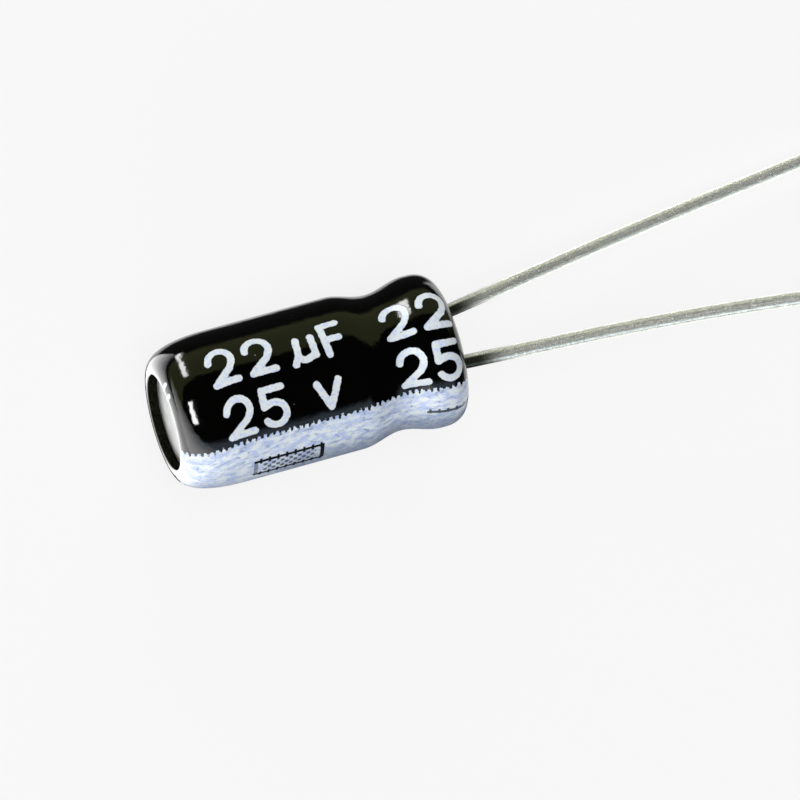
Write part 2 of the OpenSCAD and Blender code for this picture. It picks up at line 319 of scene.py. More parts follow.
def film_outline():
    """Outer line from the seat's lip to the rim, and inner line back."""
    crimp_middle = (FILM_WALL + CAN_WALL / 2 + CRIMP_R, CAN_R - CAN_WALL / 2 - CRIMP_R)
    crimp_out = CRIMP_R + CAN_WALL / 2 + FIT_GAP
    lip = turned(crimp_middle, crimp_out, 0, 100)
    outer = np.concatenate([
        [[0, lip[-1, 1]]],
        corner(BARREL_R, 0, -SEAT_ROUND_LEN, SEAT_ROUND_IN, 2.2)[::-1],
        wall(BARREL_R, BEAD_DEPTH, SEAT_ROUND_LEN + WALL_LEAD),
        corner(BARREL_R, CASE_LEN, SHOULDER_LEN, SHOULDER_IN, 2.5, 40),
        turned((CASE_LEN - RIM_ROUND, RIM_R + RIM_ROUND), RIM_ROUND, 270, 180)])
    inner = np.concatenate([
        [[HEAD_OUT + FIT_GAP, RIM_R]],
        corner(CAN_R + FIT_GAP, HEAD_OUT + FIT_GAP, HEAD_OUT + FIT_GAP - CASE_LEN + SHOULDER_LEN,
               CAN_SHOULDER_IN, 2.5)[::-1],
        wall(CAN_R + FIT_GAP, BEAD_DEPTH, crimp_middle[0] + WALL_LEAD)[::-1],
        lip])
    return outer, inner


def finer(line, spacing):
    """The same line with points no further apart than the spacing."""
    found = [line[:1]]
    for a, b in zip(line[:-1], line[1:]):
        count = max(1, math.ceil(np.linalg.norm(b - a) / spacing))
        found.append(a + (b - a) * np.linspace(0, 1, count + 1)[1:, None])
    return np.concatenate(found)


outer_line, inner_line = film_outline()
outer_line, inner_line = finer(outer_line, OUTER_STEP), finer(inner_line, INNER_STEP)
steps_out = np.linalg.norm(np.diff(outer_line, axis=0), axis=1)
run_out = np.concatenate([[0], np.cumsum(steps_out)])
first_wall = np.argmin(np.abs(outer_line[:, 0] - SEAT_ROUND_LEN))
run_out = run_out - run_out[first_wall] + SEAT_ROUND_LEN
loop = np.concatenate([outer_line, inner_line, outer_line[:1]])
loop_run = np.concatenate([run_out, np.full(len(inner_line), INSIDE_RUN), run_out[:1]])
print(len(outer_line), "outer points,", len(inner_line), "inner points")
print("film run from", round(run_out[0], 2), "to", round(run_out[-1], 2), "mm")

# %% [markdown]
# ## Turning the outline into the sleeve
#
# A Screw modifier or a lathe in mesh code would do. Geometry Nodes show the rule itself: take a grid, read
# the outline point for its column, and turn it by the angle of its row. The seam closes by merging points
# that coincide. `run` is the distance along the film from the seat, which the print needs because a film's
# print follows its surface and not its depth. The inner side gets a value of its own, `INSIDE_RUN`, so that
# nothing is printed there. The number of rows is a named input of the modifier.


# %% The revolve tree
def outline_value(tree, outline, value, column, kind):
    """A value of the outline's point in a column."""
    return add(tree, "GeometryNodeSampleIndex", {0: outline, "Value": value, "Index": column},
               data_type=kind).outputs[0]


def build_revolve():
    tree, inside, out = new_group("GeometryNodeTree", "Revolve Outline", [
        ("Outline", "Geometry", None), ("Rows", "Int", 270), ("Finish", "Material", None)],
        [("Mesh", "Geometry")])
    outline = inside.outputs["Outline"]
    count = add(tree, "GeometryNodeAttributeDomainSize", {0: outline}).outputs["Point Count"]
    rows = plus(tree, inside.outputs["Rows"], 1)
    grid = add(tree, "GeometryNodeMeshGrid", {
        "Size X": 1.0, "Size Y": 1.0, "Vertices X": count, "Vertices Y": rows})
    index = add(tree, "GeometryNodeInputIndex").outputs[0]
    column, row = (add(tree, "FunctionNodeIntegerMath", {0: index, 1: rows}, operation=kind).outputs[0]
                   for kind in ("DIVIDE_FLOOR", "MODULO"))
    position = add(tree, "GeometryNodeInputPosition").outputs[0]
    run = add(tree, "GeometryNodeInputNamedAttribute", {"Name": "run"}, data_type="FLOAT").outputs[0]
    point = outline_value(tree, outline, position, column, "FLOAT_VECTOR")
    run_here = outline_value(tree, outline, run, column, "FLOAT")
    depth, _, radius = add(tree, "ShaderNodeSeparateXYZ", {0: point}).outputs
    share = sum_node(tree, "DIVIDE", row, inside.outputs["Rows"])
    angle = times(tree, share, 2 * math.pi)
    turned_point = add(tree, "ShaderNodeCombineXYZ", {
        0: depth,
        1: times(tree, radius, sum_node(tree, "SINE", angle)),
        2: times(tree, radius, sum_node(tree, "COSINE", angle))})
    placed = add(tree, "GeometryNodeSetPosition", {
        0: grid.outputs["Mesh"], "Position": turned_point.outputs[0]})
    uv = add(tree, "ShaderNodeCombineXYZ", {0: run_here, 1: share}).outputs[0]
    per_point = add(tree, "GeometryNodeFieldOnDomain", {0: uv}, data_type="FLOAT_VECTOR", domain="POINT")
    stored = add(tree, "GeometryNodeStoreNamedAttribute", {
        0: placed.outputs[0], "Name": "print", "Value": per_point.outputs[0]},
        data_type="FLOAT2", domain="CORNER")
    merged = add(tree, "GeometryNodeMergeByDistance", {0: stored.outputs[0], "Distance": 1e-7})
    real = add(tree, "GeometryNodeRealizeInstances", {0: merged.outputs[0]})
    finish = add(tree, "GeometryNodeSetMaterial", {
        0: real.outputs[0], "Material": inside.outputs["Finish"]})
    tree.links.new(finish.outputs[0], out.inputs["Mesh"])
    return tree


# %% From a tree to a plain mesh
def run_tree(name, start, tree, **values):
    """Runs a tree on a start mesh and returns its result as a plain mesh object at the origin."""
    holder = bpy.data.objects.new(name + "_start", start)
    bpy.context.scene.collection.objects.link(holder)
    modifier = holder.modifiers.new("tree", "NODES")
    modifier.node_group = tree
    sockets = {s.name: s.identifier for s in tree.interface.items_tree if s.in_out == "INPUT"}
    for key, value in values.items():
        modifier[sockets[key]] = value
    evaluated = holder.evaluated_get(bpy.context.evaluated_depsgraph_get())
    mesh = bpy.data.meshes.new_from_object(evaluated)
    bpy.data.objects.remove(holder)
    made = bpy.data.objects.new(name, mesh)
    mesh.name = name
    bpy.context.scene.collection.objects.link(made)
    return made


def line_mesh(name, points, **attributes):
    """Points joined in a row, each with its own values."""
    mesh = bpy.data.meshes.new(name)
    mesh.from_pydata([tuple(p) for p in points], [(i, i + 1) for i in range(len(points) - 1)], [])
    for key, values in attributes.items():
        made = mesh.attributes.new(key, "FLOAT", "POINT")
        made.data.foreach_set("value", np.asarray(values, np.float32))
    return mesh


# %% [markdown]
# ## The print
#
# The film is printed flat, before it is shrunk, with the same few words again and again along its length: the
# capacity and the voltage, in plain rounded strokes. A font would not match, so each sign is a few strokes,
# given by their middle lines. For every point of the film the distance to the nearest stroke is worked out
# and stored; the shader cuts it at half the stroke's width, which gives clean round edges at any size. Only
# the rating is printed, and the film's back is bare.

# %% Strokes of the print, in millimetres from the first sign's lower left corner
STROKE = 0.232
PERIOD = 5.93
FIRST_SIGN_RUN, SIGN_LEAD = 8.325, 0.7
STROKE_REACH, FAR = 0.3, 9.0


def bow(middle, radius, start, stop, steps=14):
    """Part of a circle as points, anticlockwise angles in degrees."""
    angle = np.radians(np.linspace(start, stop, steps + 1))
    return np.stack([middle[0] + radius * np.cos(angle), middle[1] + radius * np.sin(angle)], 1)


def sign_two():
    hook = bow((0.49, 0.91), 0.385, 175, -25)
    return [np.concatenate([hook, [[0.72, 0.56], [0.13, 0.125], [0.9, 0.125]]])]


def sign_five():
    return [np.array([[0.82, 1.3], [0.17, 1.3]]),
            np.concatenate([[[0.17, 1.3], [0.14, 0.76]], bow((0.47, 0.5), 0.37, 125, -150)])]


def sign_micro():
    return [np.array([[0.3, 0.87], [0.24, 0.33], [0.08, 0.05]]),
            np.concatenate([bow((0.46, 0.35), 0.22, 200, 300), [[0.72, 0.22]]]),
            np.array([[0.8, 0.87], [0.8, 0.2]])]


def sign_f():
    return [np.array([[0.66, 1.17], [0.12, 1.15], [0.16, 0.1]]), np.array([[0.14, 0.62], [0.61, 0.62]])]


def sign_v():
    return [np.array([[0.12, 0.96], [0.46, 0.14], [0.85, 0.96]])]


# Each sign with the place of its lower left corner: along the film from the first sign, and round it
SIGNS = [(sign_two, 0.0, 0.63), (sign_two, 1.25, 0.63), (sign_micro, 2.72, 0.62), (sign_f, 3.79, 0.61),
         (sign_two, 0.08, -1.15), (sign_five, 1.27, -1.15), (sign_v, 3.11, -1.07)]


def stroke_distance(u, v):
    """Distance from each point of the print to the middle line of the nearest stroke."""
    nearest = np.full(len(u), FAR)
    for sign, at_u, at_v in SIGNS:
        for line in sign():
            for a, b in zip(line[:-1] + (at_u, at_v), line[1:] + (at_u, at_v)):
                along = b - a
                t = np.clip(((u - a[0]) * along[0] + (v - a[1]) * along[1]) / along.dot(along), 0, 1)
                off = np.hypot(u - a[0] - t * along[0], v - a[1] - t * along[1])
                nearest = np.minimum(nearest, off)
    return nearest


print("signs:", len(SIGNS), "strokes:", sum(len(sign()) for sign, _, _ in SIGNS))

# %% [markdown]
# ## The film's material
#
# Black film is nearly all gloss: what is seen on it is the room. The ink is a thin pale layer, a little
# bluish, a little rougher and uneven where it did not take. Along one side runs the band that marks the minus
# wire. Its edges are toothed, and boxes with a fine lattice stand in it as minus signs. All of that is drawn
# by sums on the print's own coordinates, which are millimetres along and round the film. Inside the opening
# of the head the film shows its open edge, which is dull, so that ring gets a material of its own.

# %% Sizes of the minus band: middle and half width in degrees round the film, the rest in millimetres
BAND_MIDDLE, BAND_HALF = 61.5, 32.0
TOOTH_PITCH, TOOTH_DEPTH = 0.2, 0.11
BOX_RUN, BOX_LONG, BOX_WIDE, BOX_TICKS = 6.3, 2.24, 0.75, 0.29
HATCH_LONG, HATCH_WIDE, HATCH_PITCH = 1.8, 0.56, 0.3
# Distance from a line's middle where its ink begins, and where it is full
RAIL_FADE, TICK_FADE, END_FADE = (0.075, 0.045), (0.15, 0.11), (0.08, 0.055)
RAIL_OVER, END_OVER = 0.06, 0.05


# %% Sums on the print's coordinates
def film_coordinates(tree):
    """Run along the film, and arc round it from the top of the barrel, both in mm."""
    uv = add(tree, "ShaderNodeUVMap", uv_map="print")
    parts = add(tree, "ShaderNodeSeparateXYZ", {0: uv.outputs[0]})
    return parts.outputs[0], parts.outputs[1]


def toothed_band(tree, run, off, waver):
    """1 on the band, with teeth along both edges."""
    half = math.radians(BAND_HALF) * BARREL_R
    wave = sum_node(tree, "SINE", times(tree, run, 2 * math.pi / TOOTH_PITCH))
    tooth = ramp(tree, wave, -0.9, 0.6, 0.0, TOOTH_DEPTH)
    edge = plus(tree, tooth, half - TOOTH_DEPTH, waver)
    return ramp(tree, minus(tree, edge, off), -0.015, 0.015)


def box_lines(tree, run, across, off):
    """1 on the dark lines of the boxes: rails with ticks, ends, and a lattice between them."""
    # Four whole periods keep the remainder positive, and half a period puts the box's middle at 0
    shifted = plus(tree, minus(tree, run, BOX_RUN), 4.5 * PERIOD)
    along = minus(tree, sum_node(tree, "MODULO", shifted, PERIOD), PERIOD / 2)
    along_off = sum_node(tree, "ABSOLUTE", along)
    rail_off = sum_node(tree, "ABSOLUTE", minus(tree, off, BOX_WIDE / 2))
    end_off = sum_node(tree, "ABSOLUTE", minus(tree, along_off, BOX_LONG / 2))
    tick_wave = sum_node(tree, "COSINE", times(tree, run, 2 * math.pi / BOX_TICKS))
    tick = times(tree, ramp(tree, tick_wave, 0.45, 0.8), ramp(tree, rail_off, *TICK_FADE))
    rail = sum_node(tree, "MAXIMUM", ramp(tree, rail_off, *RAIL_FADE), tick)
    rails = times(tree, rail, inside_of(tree, along_off, BOX_LONG / 2 + RAIL_OVER))
    end = times(tree, ramp(tree, end_off, *END_FADE), inside_of(tree, off, BOX_WIDE / 2 + END_OVER))
    # The end towards the head took less ink
    end = times(tree, end, ramp(tree, along, 0, 1, 1.0, 0.55))
    cross_wave = sum_node(tree, "COSINE", times(tree, across, 2 * math.pi / HATCH_PITCH))
    inner = times(tree, inside_of(tree, along_off, HATCH_LONG / 2), inside_of(tree, off, HATCH_WIDE / 2))
    hatch = times(tree, ramp(tree, times(tree, tick_wave, cross_wave), -0.05, 0.4, 0.0, 0.75), inner)
    drawn = sum_node(tree, "MAXIMUM", sum_node(tree, "MAXIMUM", rails, end), hatch)
    # Near the seat only the upper rail took ink
    top_rail = times(tree, sum_node(tree, "LESS_THAN", across, -0.3), 0.85)
    kept = sum_node(tree, "MAXIMUM", ramp(tree, run, 1.6, 2.8, 0.05, 1.0), top_rail)
    return times(tree, drawn, kept)


# %% The minus band as a group
def build_minus_band():
    tree, inside, out = new_group("ShaderNodeTree", "Minus Band", [
        ("Run", "Float", 0.0), ("Arc", "Float", 0.0), ("Waver", "Float", 0.0)],
        [("Ink", "Float"), ("Lines", "Float")])
    run = inside.outputs["Run"]
    across = minus(tree, inside.outputs["Arc"], math.radians(BAND_MIDDLE) * BARREL_R)
    off = sum_node(tree, "ABSOLUTE", across)
    tree.links.new(toothed_band(tree, run, off, inside.outputs["Waver"]), out.inputs["Ink"])
    tree.links.new(box_lines(tree, run, across, off), out.inputs["Lines"])
    return tree


MINUS_BAND = build_minus_band()
print("minus band:", len(MINUS_BAND.nodes), "nodes")

# %% Tones of the ink, the film and its open edge
INK_FULL, INK_THIN, INK_CRACKED = (0.67, 0.72, 0.74, 1), (0.34, 0.43, 0.66, 1), (0.1, 0.14, 0.25, 1)
INK_PATCHY, INK_PAINTED_SHADE = (0.39, 0.49, 0.87, 1), (0.13, 0.17, 0.26, 1)
FILM_BLACK, FILM_DUST = (0.0005, 0.0005, 0.0004, 1), (0.13, 0.13, 0.105, 1)
EDGE_BLACK, EDGE_LINE = (0.0008, 0.0008, 0.0006, 1), (0.03, 0.031, 0.02, 1)
FILM_ROUGH, INK_ROUGH = 0.07, 0.32


# %% Ink: streaked and cracked on the band, patchy everywhere, with painted shade low on the side
def ink_tone(tree, run, arc, point, on_band):
    flat = add(tree, "ShaderNodeCombineXYZ", {0: times(tree, run, 0.5), 1: arc}).outputs[0]
    streaks = pattern(tree, CLOUDY, flat, Size=0.2, Detail=6.0, Low=0.4, High=0.62)
    patches = pattern(tree, CLOUDY, point, Size=0.12, Detail=4.0, Low=0.45, High=0.75)
    tone = mix_colour(tree, times(tree, streaks, on_band, 0.8), INK_FULL, INK_THIN)
    cells = add(tree, "ShaderNodeTexVoronoi", {"Vector": flat, "Scale": 3.4}, feature="DISTANCE_TO_EDGE")
    crack = times(tree, ramp(tree, cells.outputs["Distance"], 0.05, 0.01), on_band, streaks, 0.6)
    tone = mix_colour(tree, crack, tone, INK_CRACKED)
    tone = mix_colour(tree, times(tree, patches, 0.7), tone, INK_PATCHY)
    # Painted shade: the ink turns darker low on the side and away from the head, in patches
    low_side = times(tree, ramp(tree, arc, 2.15, 3.0), ramp(tree, run, 7.6, 5.8))
    painted_shade = times(tree, low_side, ramp(tree, patches, 0, 1, 0.55, 0.9))
    return mix_colour(tree, painted_shade, tone, INK_PAINTED_SHADE)


# %% The printed film and its open edge
def printed_film():
    made, tree, shader, point = new_material("printed_film", Specular_IOR_Level=0.5, IOR=1.5)
    run, arc = film_coordinates(tree)
    stroke = add(tree, "ShaderNodeAttribute", attribute_name="stroke").outputs["Fac"]
    waver = ramp(tree, pattern(tree, CLOUDY, point, Size=0.12), 0, 1, -0.04, 0.04)
    text = ramp(tree, plus(tree, stroke, times(tree, waver, 0.2)), -0.012, 0.012)
    band = use(tree, MINUS_BAND, {"Run": run, "Arc": arc, "Waver": waver}).outputs
    ink = sum_node(tree, "MAXIMUM", text, times(tree, band["Ink"], minus(tree, 1.0, band["Lines"])))
    dust = pattern(tree, SPECKS, point, Spacing=0.35, Radius=0.11, Share=0.22)
    film_tone = mix_colour(tree, dust, FILM_BLACK, FILM_DUST)
    tone = mix_colour(tree, ink, film_tone, ink_tone(tree, run, arc, point, band["Ink"]))
    ripple = pattern(tree, CLOUDY, point, Size=0.5, Detail=2.0, Low=0.2, High=0.8)
    grain = pattern(tree, CLOUDY, point, Size=0.05, Detail=2.0, Low=0.2, High=0.8)
    height = plus(tree, times(tree, ripple, 0.6), times(tree, grain, 0.05), times(tree, ink, 0.5))
    dress(tree, shader, tone, mix_value(tree, ink, FILM_ROUGH, INK_ROUGH), height, 0.008)
    return made


def film_edge():
    """The rim's inner wall: the film's open edge, which is dull and finely lined."""
    made, tree, shader, point = new_material("film_edge", Specular_IOR_Level=0.0)
    lines = pattern(tree, DRAWN_LINES, point, Width=0.05, Stretch=0.4)
    tone = mix_colour(tree, ramp(tree, lines, 0.45, 0.7), EDGE_BLACK, EDGE_LINE)
    dress(tree, shader, tone, ramp(tree, lines, 0.3, 0.7, 0.35, 0.55), lines, 0.006)
    return made


FILM, FILM_EDGE = printed_film(), film_edge()
print("film materials:", [(m.name, len(m.node_tree.nodes)) for m in (FILM, FILM_EDGE)])

# %% Make the sleeve: as many rows as keep it under 200,000 triangles
SLEEVE_ROWS = 270
start = line_mesh("outline", [(-x * MM, 0, r * MM) for x, r in loop], run=loop_run)
sleeve = run_tree("film_sleeve", start, build_revolve(), Rows=SLEEVE_ROWS, Finish=FILM)
print("sleeve:", len(sleeve.data.polygons), "faces")

# %% Places and twist of the print: degrees, and the runs in mm between which the film turned
HEAD_TWIST, HEAD_TWIST_FROM, HEAD_TWIST_TO = 4.0, 7.4, 9.3
SEAT_TWIST, SEAT_TWIST_FROM, SEAT_TWIST_TO = 1.5, 1.5, 0.3


def eased(value, start, stop):
    """0 at the start and 1 at the stop, with a soft beginning and end."""
    t = np.clip((value - start) / (stop - start), 0, 1)
    return t * t * (3 - 2 * t)


def twist(run):
    """The film turned a few degrees as it shrank over the head, and a little at the seat."""
    head = HEAD_TWIST * eased(run, HEAD_TWIST_FROM, HEAD_TWIST_TO)
    seat = SEAT_TWIST * eased(run, SEAT_TWIST_FROM, SEAT_TWIST_TO)
    return np.radians(head + seat)


# %% Give each point its place in the print, and its distance to the strokes
# How far past the rim's radius a face may lie and still count as its inner wall, in mm
EDGE_SLACK = 0.02


def unroll(mesh):
    """Turns the revolve's share of a turn into an arc in mm, and returns each corner's place."""
    layer = mesh.uv_layers["print"]
    uv = np.zeros(len(mesh.loops) * 2, np.float32)
    layer.data.foreach_get("uv", uv)
    uv = uv.reshape(-1, 2).astype(float)
    turn = -(uv[:, 1] * 2 * math.pi)
    first_corner, corners = np.zeros((2, len(mesh.polygons)), np.int32)
    mesh.polygons.foreach_get("loop_start", first_corner)
    mesh.polygons.foreach_get("loop_total", corners)
    # A face that reaches past the bottom belongs to the other side as a whole
    past_bottom = np.minimum.reduceat(turn, first_corner) < -math.pi - 1e-4
    turn = turn + 2 * math.pi * np.repeat(past_bottom, corners) - twist(uv[:, 0])
    uv[:, 1] = turn * BARREL_R
    layer.data.foreach_set("uv", uv.astype(np.float32).ravel())
    return uv


def mark_strokes(mesh, uv):
    """Stores on each point how deep inside a stroke it lies, in mm."""
    corner_vertex = np.zeros(len(mesh.loops), np.int32)
    mesh.loops.foreach_get("vertex_index", corner_vertex)
    place = np.zeros((len(mesh.vertices), 2))
    place[corner_vertex] = uv
    u = np.mod(FIRST_SIGN_RUN - place[:, 0] + SIGN_LEAD, PERIOD) - SIGN_LEAD
    off = stroke_distance(u, -place[:, 1])
    off[place[:, 0] < INSIDE_RUN + 1] = FAR
    stroke = np.clip(STROKE / 2 - off, -STROKE_REACH, STROKE_REACH)
    mesh.attributes.new("stroke", "FLOAT", "POINT").data.foreach_set("value", stroke.astype(np.float32))


def dull_inside(mesh):
    """Gives the faces of the rim's inner wall the edge's own material."""
    mesh.materials.append(FILM_EDGE)
    edge_slot = len(mesh.materials) - 1
    for face in mesh.polygons:
        x, y, z = face.center / MM
        if x < -HEAD_OUT and math.hypot(y, z) < RIM_R + EDGE_SLACK:
            face.material_index = edge_slot
    print("open edge:", sum(face.material_index == edge_slot for face in mesh.polygons), "faces")


mark_strokes(sleeve.data, unroll(sleeve.data))
dull_inside(sleeve.data)
sleeve.data.shade_smooth()
sleeve.data.set_sharp_from_angle(angle=math.radians(40))
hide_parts("sleeve")
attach(sleeve, "root")

# %% [markdown]
# ## The wires
#
# Each wire is tinned steel, 0.45 mm thick: straight out of the seal, a bend, and a long slow turn that
# handling gave it. A wire is the plainest case of a shape that follows a path, so Geometry Nodes sweep a
# circle along it. The circle shrinks at the very end, where the cutter leaves a small chamfer. The tree also
# stores how far along and round the wire each point is, for the drawn lines in the tin. At its foot, by the
# seal, the wire gets painted shade: it is dark all round but for its +Y side.

# %% Sizes of the wires, in millimetres and degrees
WIRE_R, BOSS_TOP, REST_ROLL = 0.225, 0.85, 33.4333
STUB_OUT, BEND_R, BOW_START, BOW_LEN, BOW_BENDS, NUDGE_R = 0.1, 2.0, 4.8, 6.4, 4, 4.0
ANODE_LEN, ANODE_SPLAY, ANODE_BOW, ANODE_HOLE = 20, 9.8, -2, 1.21
CATHODE_LEN, CATHODE_SPLAY, CATHODE_BOW, CATHODE_HOLE = 15.5, 3.8, 4.2, 0.79


# %% Paths of the wires
def wire_legs(length, splay, bow_angle):
    """Straight run, bend radius and bend angle of each leg, as the CAD model has them."""
    nudge, spacing = bow_angle / BOW_BENDS, BOW_LEN / BOW_BENDS
    first = BOW_START - STUB_OUT - math.radians(abs(splay)) * BEND_R
    last = length - BOW_START - BOW_LEN + spacing - BOW_BENDS * NUDGE_R * math.radians(abs(nudge))
    middle = [(spacing, NUDGE_R, nudge)] * (BOW_BENDS - 1)
    return [(BOSS_TOP + STUB_OUT, BEND_R, splay), (first, NUDGE_R, nudge), *middle, (last, 0, 0)]


def wire_path(legs):
    """Points along the wire in its own plane: out from the seat, and outwards from its hole."""
    at, heading = np.array([-BOSS_TOP, 0.0]), 0.0
    found = [at]
    for run, radius, angle in legs:
        ahead = np.array([math.cos(heading), math.sin(heading)])
        found += [at + ahead * run * t for t in np.linspace(0, 1, 9)[1:]]
        side = 1 if angle >= 0 else -1
        middle = found[-1] + np.array([-math.sin(heading), math.cos(heading)]) * radius * side
        for t in np.linspace(0, 1, 7)[1:] if radius else ():
            turn = heading + math.radians(angle) * t
            found.append(middle + np.array([math.sin(turn), -math.cos(turn)]) * radius * side)
        at, heading = found[-1], heading + math.radians(angle)
    return np.array(found)


def on_table(path, hole, side):
    """From the wire's own plane to the lying part's frame, in metres."""
    roll, out = math.radians(REST_ROLL), side * (hole + path[:, 1])
    return np.stack([path[:, 0], out * math.cos(roll), -out * math.sin(roll)], 1) * MM


WIRES = {
    "anode": on_table(wire_path(wire_legs(ANODE_LEN, ANODE_SPLAY, ANODE_BOW)), ANODE_HOLE, 1),
    "cathode": on_table(wire_path(wire_legs(CATHODE_LEN, CATHODE_SPLAY, CATHODE_BOW)), CATHODE_HOLE, -1)}
for name, path in WIRES.items():
    print(name, "wire:", len(path), "points, tip at", (path[-1] / MM).round(2))


# %% The sweep tree
def store_number(tree, geometry, name, value):
    """Stores a number under a name on every point."""
    return add(tree, "GeometryNodeStoreNamedAttribute", {0: geometry, "Name": name, "Value": value},
               data_type="FLOAT", domain="POINT").outputs[0]


def build_sweep():
    tree, inside, out = new_group("GeometryNodeTree", "Sweep Wire", [
        ("Path", "Geometry", None), ("Radius", "Float", 0.2 * MM), ("Sides", "Int", 40),
        ("Chamfer", "Float", 0.04 * MM), ("Finish", "Material", None)], [("Mesh", "Geometry")])
    curve = add(tree, "GeometryNodeMeshToCurve", {0: inside.outputs["Path"]}).outputs[0]
    along = add(tree, "GeometryNodeSplineParameter").outputs["Length"]
    left = minus(tree, add(tree, "GeometryNodeSplineLength").outputs["Length"], along)
    taper = ramp(tree, left, 0.0, inside.outputs["Chamfer"], 0.82, 1.0)
    spine = store_number(tree, store_number(tree, curve, "along", along), "taper", taper)
    ring = add(tree, "GeometryNodeCurvePrimitiveCircle", {
        "Resolution": inside.outputs["Sides"], "Radius": inside.outputs["Radius"]}).outputs[0]
    around = add(tree, "GeometryNodeSplineParameter").outputs["Factor"]
    marked = store_number(tree, ring, "around", around)
    scale = add(tree, "GeometryNodeInputNamedAttribute", {"Name": "taper"}, data_type="FLOAT").outputs[0]
    tube = add(tree, "GeometryNodeCurveToMesh", {0: spine, 1: marked, "Scale": scale, "Fill Caps": True})
    real = add(tree, "GeometryNodeRealizeInstances", {0: tube.outputs[0]})
    finish = add(tree, "GeometryNodeSetMaterial", {
        0: real.outputs[0], "Material": inside.outputs["Finish"]})
    tree.links.new(finish.outputs[0], out.inputs["Mesh"])
    return tree


# %% Tones of the tin, and how far from the seat the painted shade at its foot reaches
TIN_DARK_LINE, TIN_LIGHT_LINE = (0.82, 0.84, 0.72, 1), (1.0, 1.0, 0.93, 1)
TIN_BLOOM, TIN_PIT, TIN_PAINTED_SHADE = (0.4, 0.43, 0.42, 1), (0.15, 0.15, 0.13, 1), (0.035, 0.038, 0.025, 1)
SHADE_FULL, SHADE_GONE = 0.7, 1.9


# %% Tinned steel: drawn lines, small pits, a dull bloom, and painted shade at the foot
def stored(tree, name):
    """A number that the sweep stored on the mesh."""
    return add(tree, "ShaderNodeAttribute", attribute_name=name).outputs["Fac"]


def tinned_wire():
    made, tree, shader, _ = new_material("tinned_wire", Metallic=0.6)
    along = sum_node(tree, "DIVIDE", stored(tree, "along"), MM)
    angle = times(tree, stored(tree, "around"), 2 * math.pi)
    skin = add(tree, "ShaderNodeCombineXYZ", {
        0: along,
        1: times(tree, sum_node(tree, "SINE", angle), WIRE_R),
        2: times(tree, sum_node(tree, "COSINE", angle), WIRE_R)}).outputs[0]
    lines = pattern(tree, DRAWN_LINES, skin, Width=0.035, Stretch=10.0)
    bloom = pattern(tree, CLOUDY, skin, Size=0.08, Detail=4.0, Low=0.36, High=0.64)
    pits = pattern(tree, SPECKS, skin, Spacing=0.11, Radius=0.3, Share=0.06)
    tone = mix_colour(tree, ramp(tree, lines, 0.35, 0.65), TIN_DARK_LINE, TIN_LIGHT_LINE)
    tone = mix_colour(tree, times(tree, bloom, 0.62), tone, TIN_BLOOM)
    tone = mix_colour(tree, times(tree, pits, 0.35), tone, TIN_PIT)
    facing = add(tree, "ShaderNodeSeparateXYZ", {0: add(tree, "ShaderNodeTexCoord").outputs["Normal"]})
    # Painted shade: the foot by the seal is dark on all sides but +Y
    foot = ramp(tree, along, BOSS_TOP + SHADE_GONE, BOSS_TOP + SHADE_FULL)
    tone = mix_colour(tree, times(tree, foot, ramp(tree, facing.outputs[1], 0.75, 0.35)), tone, TIN_PAINTED_SHADE)
    height = plus(tree, times(tree, lines, 0.7), times(tree, bloom, 0.5))
    height = minus(tree, height, times(tree, pits, 0.6))
    dress(tree, shader, tone, ramp(tree, bloom, 0, 1, 0.2, 0.3), height, 0.004)
    return made


# %% Make the two wires
TINNED, SWEEP, WIRE_SIDES = tinned_wire(), build_sweep(), 40
for name, path in WIRES.items():
    spine = line_mesh(name + "_path", path)
    wire = run_tree(name + "_wire", spine, SWEEP, Radius=WIRE_R * MM, Sides=WIRE_SIDES, Finish=TINNED)
    wire.data.shade_smooth()
    wire.data.set_sharp_from_angle(angle=math.radians(50))
    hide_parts(name + "_lead")
    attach(wire, "root")
    print(wire.name, len(wire.data.polygons), "faces")

# %% [markdown]
# ## The pieces that keep their CAD form
#
# The head's bare aluminium, the rubber seal and everything inside the can already have the right shape, so
# only their materials are new. The can was drawn from sheet and has faint rings on its head. The rubber is
# moulded and matt. The foils are etched to a grey bloom, and the paper between them is soaked and fibrous.


# %% Materials for the can, the seal and the winding
def drawn_aluminium():
    """Drawn sheet, with faint rings about the can's axis, and a tone far darker than bare aluminium: painted
    shade for the head sunk behind the rim.
    """
    made, tree, shader, point = new_material("drawn_aluminium", Metallic=1.0)
    _, y, z = add(tree, "ShaderNodeSeparateXYZ", {0: point}).outputs
    reach = sum_node(tree, "SQRT", plus(tree, times(tree, y, y), times(tree, z, z)))
    rings = add(tree, "ShaderNodeTexNoise", {
        "Scale": 25.0, "Detail": 3.0, "W": reach}, noise_dimensions="1D").outputs[0]
    cloud = pattern(tree, CLOUDY, point, Size=0.5, Detail=4.0, Low=0.25, High=0.75)
    # Painted shade: a tone far darker than bare aluminium, so that the head behind the rim reads dark
    tone = mix_colour(tree, cloud, (0.29, 0.295, 0.29, 1), (0.215, 0.22, 0.217, 1))
    dress(tree, shader, tone, ramp(tree, rings, 0.3, 0.7, 0.4, 0.58), rings, 0.006)
    return made


def seal_rubber():
    """Moulded rubber: nearly black, matt, with a little pale dust."""
    made, tree, shader, point = new_material("seal_rubber")
    cloud = pattern(tree, CLOUDY, point, Size=0.3, Detail=5.0)
    dust = pattern(tree, SPECKS, point, Spacing=0.12, Radius=0.2, Share=0.15)
    tone = mix_colour(tree, cloud, (0.022, 0.021, 0.021, 1), (0.04, 0.038, 0.036, 1))
    tone = mix_colour(tree, dust, tone, (0.1, 0.1, 0.095, 1))
    dress(tree, shader, tone, ramp(tree, cloud, 0, 1, 0.55, 0.75), cloud, 0.01)
    return made


